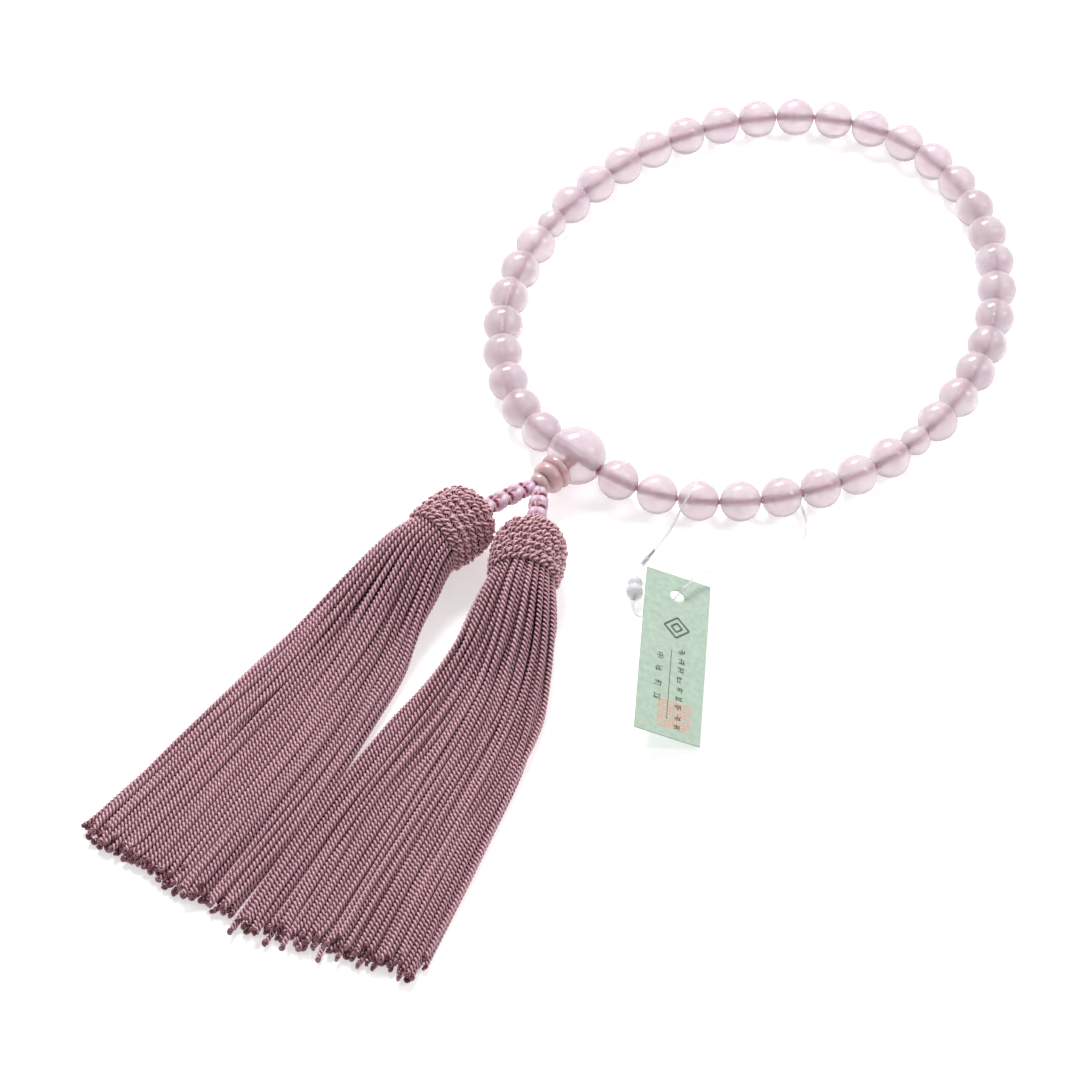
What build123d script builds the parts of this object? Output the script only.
"""Single-loop prayer beads: polished stone beads on a string, a parent bead with a
tiered collar bead, two braided cords and two knitted-head tassels, and a hang tag.

Frame: millimetres, +Z up, the origin on the table at the middle of the bead loop.
The parent bead lies towards -Y and the tassels run on from it.
"""
from build123d import *
import math
import os

os.makedirs("parts", exist_ok=True)

# ---------------------------------------------------------------- driving dimensions
main_bead_diameter = 8.0
marker_bead_diameter = 5.9
parent_bead_diameter = 11.7
beads_before_marker = 8        # main beads between the parent bead and each marker bead
beads_between_markers = 22
bead_play = 0.16               # string length left over at each bead, so that the loop can bend
bead_bore_diameter = 1.3
string_diameter = 0.8

loop_aspect = 1.244            # length of the oval loop over its width
loop_turn = 8.3                # the oval's long axis, degrees anticlockwise from +Y
loop_bulge = 0.0136            # three-fold swelling of the oval, a share of its radius
bulge_angle = 226.6            # where it swells most, degrees clockwise from the far end
mouth_rise = 0.3               # the string enters the parent bead this far below its middle
first_bead_rise = 0.45         # height of the far hole of the beads beside the parent bead, above rest

stem_turn = -5.0               # the tassel side of the parent bead, degrees from -Y towards -X
stem_drop = 0.55               # how far the stem falls along the collar bead

collar_gap = 0.12              # between the parent bead and the collar's dished end
collar_reach = 11.4            # from the middle of the parent bead to the collar's small end
collar_radii = (3.5, 3.3, 2.3) # of the wide ring, the drum and the end ball
collar_steps = (6.6, 9.2)      # where the ring meets the drum, and the drum the ball
collar_bore_radius = 1.25
chamber_radius = 1.9           # the wider part of the bore that hides the knot
chamber_end = 8.5

braid_diameter = 3.5
cord_neck_diameter = 1.0
head_diameter = 14.6
head_length = 12.2
swing_clearance = 1.2          # from a braid's end to the pivot above the tassel head
skirt_end_height = 3.4

card_width = 13.2
card_length = 40.0
card_thickness = 0.35
card_hole_diameter = 3.0
card_hole_inset = 5.0
loop_cord_diameter = 0.5

main_radius = main_bead_diameter / 2
marker_radius = marker_bead_diameter / 2
parent_radius = parent_bead_diameter / 2


# ---------------------------------------------------------------- the loop of beads
def bead_names():
    """Names and radii of the strung beads, clockwise from the parent bead."""
    row = []
    number = 0
    for place in range(2 * beads_before_marker + beads_between_markers + 2):
        if place == beads_before_marker:
            row.append(("marker_bead_left", marker_radius))
        elif place == beads_before_marker + beads_between_markers + 1:
            row.append(("marker_bead_right", marker_radius))
        else:
            number += 1
            row.append((f"main_bead_{number:02d}", main_radius))
    return row


strung = bead_names()
link_count = len(strung)


def oval_point(angle, size):
    """A point of the oval; angle 0 is its far end, and it grows clockwise."""
    turn = math.radians(loop_turn)
    swell = size * (1 + loop_bulge * math.cos(3 * (angle - math.radians(bulge_angle))))
    along = swell * loop_aspect * math.cos(angle)
    across = swell * math.sin(angle)
    return (-along * math.sin(turn) + across * math.cos(turn),
            along * math.cos(turn) + across * math.sin(turn))


def next_angle(angle, chord, size):
    """The angle of the oval's point that lies one chord further round."""
    here = oval_point(angle, size)
    low = angle
    high = angle + 0.6
    for _ in range(50):
        middle = (low + high) / 2
        if math.dist(here, oval_point(middle, size)) < chord:
            low = middle
        else:
            high = middle
    return (low + high) / 2


def hole_heights():
    """Height of the string at each gap between beads, from the parent's left mouth round."""
    heights = [main_radius] * (link_count + 1)
    heights[0] = heights[-1] = parent_radius - mouth_rise
    heights[1] = heights[-2] = main_radius + first_bead_rise
    return heights


def bend_points(size):
    """The points where the string bends between beads, and the angle left at the end."""
    heights = hole_heights()
    mouth_half = parent_radius + bead_play / 2
    start = math.pi + math.atan(loop_aspect * math.tan(math.radians(loop_turn)))
    first = next_angle(start, mouth_half, size)
    angle = first
    points = [(*oval_point(angle, size), heights[0])]
    for place, (_, radius) in enumerate(strung):
        rise = heights[place + 1] - heights[place]
        chord = math.sqrt((2 * radius + bead_play) ** 2 - rise ** 2)
        angle = next_angle(angle, chord, size)
        points.append((*oval_point(angle, size), heights[place + 1]))
    closing = next_angle(angle, 2 * mouth_half, size) - first - 2 * math.pi
    return points, closing


def closed_size():
    """The oval's half width at which the string of beads just closes."""
    low = 35.0
    high = 65.0
    for _ in range(40):
        middle = (low + high) / 2
        if bend_points(middle)[1] > 0:
            low = middle
        else:
            high = middle
    return (low + high) / 2


half_width = closed_size()
bends = [Vector(*p) for p in bend_points(half_width)[0]]
bead_centres = [(bends[i] + bends[i + 1]) / 2 for i in range(link_count)]
mouths = (bends[0] + bends[-1]) / 2
parent_centre = Vector(mouths.X, mouths.Y, parent_radius)


def drilled_ball(radius, bore_radius, centre, direction):
    """A ball drilled through, its bore along direction."""
    ball = Sphere(radius) - Cylinder(bore_radius, 2 * radius + 2)
    return Plane(origin=centre, z_dir=direction) * ball


def write(shape, name):
    export_step(shape, f"parts/{name}.step")


for place, (name, radius) in enumerate(strung):
    run = bends[place + 1] - bends[place]
    write(drilled_ball(radius, bead_bore_diameter / 2, bead_centres[place], run), name)

# ---------------------------------------------------------------- parent bead, collar, string
stem_out = Vector(math.sin(math.radians(stem_turn)), -math.cos(math.radians(stem_turn)),
                  -stem_drop / collar_reach).normalized()
stem_side = Vector(0, 0, 1).cross(stem_out).normalized()      # towards +X
stem_plane = Plane(origin=parent_centre, x_dir=stem_side, z_dir=stem_out)

side_bore = Plane(origin=parent_centre, z_dir=bends[0] - bends[-1]) * Cylinder(0.9, 20)
stem_bore = stem_plane * Pos(0, 0, 5) * Cylinder(1.2, 10)
parent_bead = stem_plane * Sphere(parent_radius) - (side_bore + stem_bore)
write(parent_bead, "parent_bead")

# distances along the stem are from the middle of the parent bead
braid_pivot = collar_reach + 0.1


def turned(profile, plane):
    """A closed outline of (radius, distance) corners turned about the plane's Z axis."""
    face = make_face(Polyline(*[(r, 0, z) for r, z in profile], close=True))
    return plane * revolve(face, Axis.Z)


def collar_bead():
    """Three rounded tiers with a dished wide end, and a bore that widens for the knot."""
    ring, drum, ball = collar_radii
    step_one, step_two = collar_steps
    dish = parent_radius + collar_gap
    rim_start = math.sqrt(dish ** 2 - (ring - 0.25) ** 2)
    chamber_start = math.sqrt(dish ** 2 - chamber_radius ** 2)

    def at(radius, distance):
        return (radius, 0, distance)

    dish_middle = at(dish * math.sin(math.radians(26)), dish * math.cos(math.radians(26)))
    outline = [
        ThreePointArc(at(chamber_radius, chamber_start), dish_middle, at(ring - 0.25, rim_start)),
        ThreePointArc(at(ring - 0.25, rim_start), at(ring, (rim_start + step_one) / 2),
                      at(ring - 0.3, step_one)),
        Line(at(ring - 0.3, step_one), at(drum - 0.55, step_one)),
        ThreePointArc(at(drum - 0.55, step_one), at(drum, (step_one + step_two) / 2),
                      at(drum - 0.75, step_two)),
        Line(at(drum - 0.75, step_two), at(ball - 0.35, step_two)),
        ThreePointArc(at(ball - 0.35, step_two), at(ball, step_two + 0.9), at(1.5, collar_reach)),
        Line(at(1.5, collar_reach), at(collar_bore_radius, collar_reach)),
        Line(at(collar_bore_radius, collar_reach), at(collar_bore_radius, chamber_end)),
        Line(at(collar_bore_radius, chamber_end), at(chamber_radius, chamber_end)),
        Line(at(chamber_radius, chamber_end), at(chamber_radius, chamber_start)),
    ]
    return stem_plane * revolve(make_face(outline), Axis.Z)


write(collar_bead(), "collar_bead")


def arc_radii(points):
    """The largest corner radii that a route's runs leave room for."""
    radii = []
    for before, corner, after in zip(points, points[1:], points[2:]):
        turn = math.radians((corner - before).get_angle(after - corner))
        run = min((corner - before).length, (after - corner).length)
        radii.append(0.45 * run / math.tan(turn / 2))
    return radii


def tube(points, diameter, label, elbow=None):
    """A round cord along straight runs joined by tangent arcs, with its end elbows if given."""
    radii = arc_radii(points)
    if elbow:
        radii[0] = radii[-1] = elbow
    path = FilletPolyline(*points, radius=radii)
    section = Plane(origin=path @ 0, z_dir=path % 0) * Circle(diameter / 2)
    solid = sweep(section, path=path)
    print(label, "length", round(path.length, 2), "arc radii", [round(r, 2) for r in radii],
          "volume ratio", round(solid.volume / (math.pi * diameter ** 2 / 4 * path.length), 4))
    return solid


# the knot sits in the wide end of the collar's bore; both string ends run into it
knot_start = parent_radius + 0.3
knot_end = knot_start + 2.0
strand_offset = 0.5


def on_stem(distance, side=0.0):
    return parent_centre + stem_out * distance + stem_side * side


string_route = [on_stem(knot_start, -strand_offset), parent_centre - stem_side * strand_offset]
string_route += bends
string_route += [parent_centre + stem_side * strand_offset, on_stem(knot_start, strand_offset)]
write(tube(string_route, string_diameter, "string", elbow=1.0), "string")

knot = turned([(0, knot_start), (1.1, knot_start), (1.55, knot_start + 0.6),
               (1.55, knot_end - 0.6), (1.1, knot_end), (0, knot_end)], stem_plane)
tail_length = collar_reach - 0.3 - knot_end
for side in (-0.55, 0.55):
    tail = Pos(side, 0, knot_end + tail_length / 2) * Cylinder(cord_neck_diameter / 2, tail_length)
    knot = knot + stem_plane * tail
write(knot, "string_knot")

# ---------------------------------------------------------------- braids and tassels
# per tassel: side of the exit, the pivot above the head, the head's heading, the skirt's
# heading (degrees from -Y towards +X), and the skirt's width where it ends
tassels = {
    "left": {"exit_side": -0.62, "neck": Vector(-4.3, -81.0, 7.4), "head": -7.5,
             "skirt": 6.4, "end_width": 33.4},
    "right": {"exit_side": 0.62, "neck": Vector(6.4, -78.0, 7.4), "head": 28.4,
              "skirt": 16.6, "end_width": 34.8},
}
skirt_length = 92.0


def heading(degrees, fall=0.0):
    """A direction in plan, measured from -Y towards +X, falling by fall per unit."""
    turn = math.radians(degrees)
    return Vector(math.sin(turn), -math.cos(turn), -fall).normalized()


def braid(side):
    """The braided cord from the collar bead to just above the tassel head."""
    data = tassels[side]
    start = on_stem(braid_pivot + 0.8, data["exit_side"])
    run = data["neck"] - start
    length = run.length - swing_clearance
    neck = cord_neck_diameter / 2
    full = braid_diameter / 2
    return turned([(0, 0), (neck, 0), (full, 4.2), (full, length - 1.0), (1.3, length),
                   (0, length)], Plane(origin=start, z_dir=run))


def head_plane(side):
    """Plane at the pivot, Z down the head; the head's top is head_gap further on."""
    data = tassels[side]
    out = heading(data["head"])
    return Plane(origin=data["neck"], x_dir=Vector(0, 0, 1).cross(out), z_dir=out)


head_gap = 0.8


def knit_cap():
    """The knitted cover: a thick-walled bell, open below, with a hole for the cord on top."""
    r = head_diameter / 2
    g = head_gap
    outer = [(1.4, g), (3.3, g), (5.6, g + 1.0), (r - 0.4, g + 3.2), (r, g + 5.6), (r, g + 8.8),
             (r - 0.3, g + 11.0), (r - 0.9, g + head_length)]
    inner = [(5.8, g + head_length), (5.8, g + 8.4), (5.2, g + 4.4), (4.0, g + 2.4), (1.4, g + 1.6)]
    return outer + inner


def skirt_sections(side):
    """Centre, width and height of the strand bundle at distances below the head."""
    data = tassels[side]
    top = data["neck"] + heading(data["head"]) * (head_gap + 12.0)
    out = heading(data["skirt"])
    end = data["end_width"]
    rows = []
    for distance, width, height in ((1.8, 10.4, 10.4), (4.2, 12.6, 12.2), (20, 16.8, 8.2),
                                    (40, end * 0.66, 5.6), (64, end * 0.84, 4.2),
                                    (skirt_length, end, skirt_end_height)):
        centre = top + out * distance
        rows.append((Vector(centre.X, centre.Y, height / 2 + 0.15), width, height))
    return rows, out


def skirt(side):
    """The fringe as one soft body: a round neck that flattens and fans out on the table."""
    rows, out = skirt_sections(side)
    faces = []
    for centre, width, height in rows:
        plane = Plane(origin=centre, x_dir=Vector(0, 0, 1).cross(out), z_dir=out)
        faces.append(plane * Ellipse(width / 2, height / 2))
    fan = loft(faces, ruled=True)
    neck = head_plane(side) * Pos(0, 0, head_gap + 12.1) * Cylinder(4.6, 4.4)
    return fan + neck


for side in tassels:
    plane = head_plane(side)
    g = head_gap
    write(braid(side), f"{side}_braid")
    write(turned(knit_cap(), plane), f"{side}_knit_cap")
    core = Pos(0, 0, g + 5.2) * (Sphere(3.4) - Cylinder(1.05, 8))
    write(plane * core, f"{side}_core_ball")
    tail = Pos(0, 0, (0.5 + g + 8.8) / 2) * Cylinder(0.85, g + 8.8 - 0.5)
    write(plane * (tail + Pos(0, 0, g + 9.2) * Cylinder(1.9, 0.9)), f"{side}_cord_end_knot")
    ring = Cylinder(5.5, 1.5) - Cylinder(4.65, 1.6)
    write(plane * Pos(0, 0, g + 10.95) * ring, f"{side}_neck_binding")
    write(skirt(side), f"{side}_tassel_skirt")

# ---------------------------------------------------------------- hang tag
card_yaw = 34.5
card_tilt = 21.0
card_centre = Vector(44.9, -84.9, 3.1)
card_place = Pos(*card_centre) * Rot(0, 0, card_yaw) * Rot(0, card_tilt, 0)
card_plane = Plane(card_place)
hole_y = card_length / 2 - card_hole_inset
card = Box(card_width, card_length, card_thickness)
card -= Pos(0, hole_y, 0) * Cylinder(card_hole_diameter / 2, 2)
write(card_place * card, "tag_card")


def on_card(x, y, lift):
    return card_plane.from_local_coords(Vector(x, y, lift))


lock_centre = Vector(28.5, -75.5, 2.1)
lock_run = on_card(0, -1, 0) - on_card(0, 0, 0)
lock_plane = Plane(origin=lock_centre, z_dir=Vector(lock_run.X, lock_run.Y, 0))
lock = turned([(0, -2.6), (0.9, -2.6), (1.7, -1.4), (1.7, 0.9), (0.9, 2.4), (0, 2.4)], lock_plane)
write(lock, "tag_lock")

# the clear loop: out of the lock, over the string at bead 36 from the left, round inside
# the beads, back under the string, over the card's edge, through its hole and to the lock
tag_route = [
    lock_plane.from_local_coords(Vector(0, 0, -2.6)),
    Vector(26.1, -69.9, 3.4),
    Vector(27.6, -64.2, 7.6),
    Vector(26.4, -57.4, 10.9),
    Vector(24.5, -49.5, 11.4),
    Vector(24.7, -42.9, 8.4),
    Vector(26.7, -37.3, 4.4),
    Vector(31.1, -32.6, 1.6),
    Vector(35.5, -34.1, 0.75),
    Vector(42.6, -38.7, 0.75),
    Vector(45.9, -45.3, 0.75),
    Vector(43.5, -52.9, 0.8),
    Vector(39.8, -59.7, 2.2),
    on_card(3.4, hole_y + 6.0, 1.9),
    on_card(0.4, hole_y + 0.6, 2.1),
    on_card(-0.3, hole_y - 0.2, -1.3),
    Vector(35.1, -76.2, 1.2),
    Vector(33.7, -79.7, 1.2),
    Vector(31.4, -80.1, 1.5),
    lock_plane.from_local_coords(Vector(0, 0, 2.4)),
]
write(tube(tag_route, loop_cord_diameter, "tag loop"), "tag_loop")

print("half width", round(half_width, 3), "half length", round(half_width * loop_aspect, 3))
print("parent centre", [round(v, 2) for v in parent_centre])
print("collar exit", [round(v, 2) for v in on_stem(collar_reach)])
